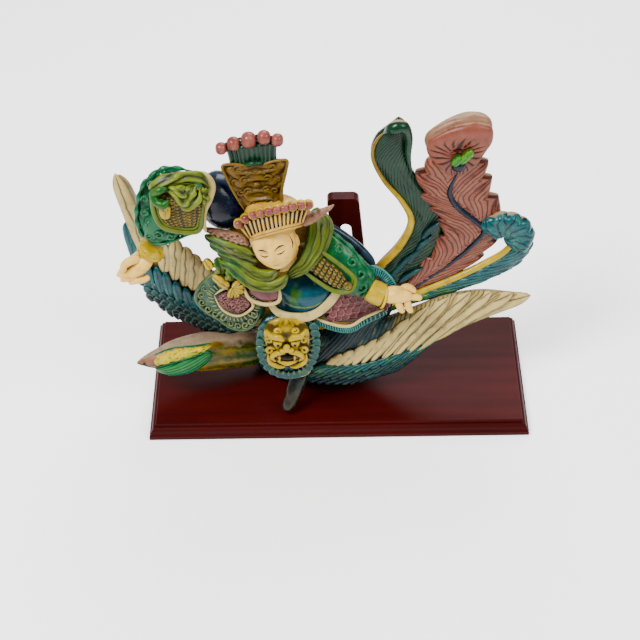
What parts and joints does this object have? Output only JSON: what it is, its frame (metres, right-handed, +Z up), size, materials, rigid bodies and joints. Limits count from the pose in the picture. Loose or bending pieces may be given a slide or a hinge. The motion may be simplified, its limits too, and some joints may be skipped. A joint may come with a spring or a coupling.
{
  "type": "roof ridge figure",
  "caption": "Glazed roof ridge ornament of an armoured rider on a phoenix with raised wings and a fanned tail, resting on a moulded board with a slotted upright.",
  "frame": {"origin": "centre of the board's underside", "axes": "+X along the board towards the tail, the viewer's right; the viewer stands at -Y; +Z up"},
  "size_m": [0.3047, 0.121, 0.2485],
  "materials": {
    "glazed_earthenware": "coloured lead glazes over fired clay, glossy, with unglazed clay behind",
    "stained_wood": "dark red stain under semi-gloss lacquer"
  },
  "bodies": {
    "root": {"ceramic_figure": "glazed_earthenware", "stand_board": "stained_wood", "stand_upright": "stained_wood"}
  },
  "joints": []
}
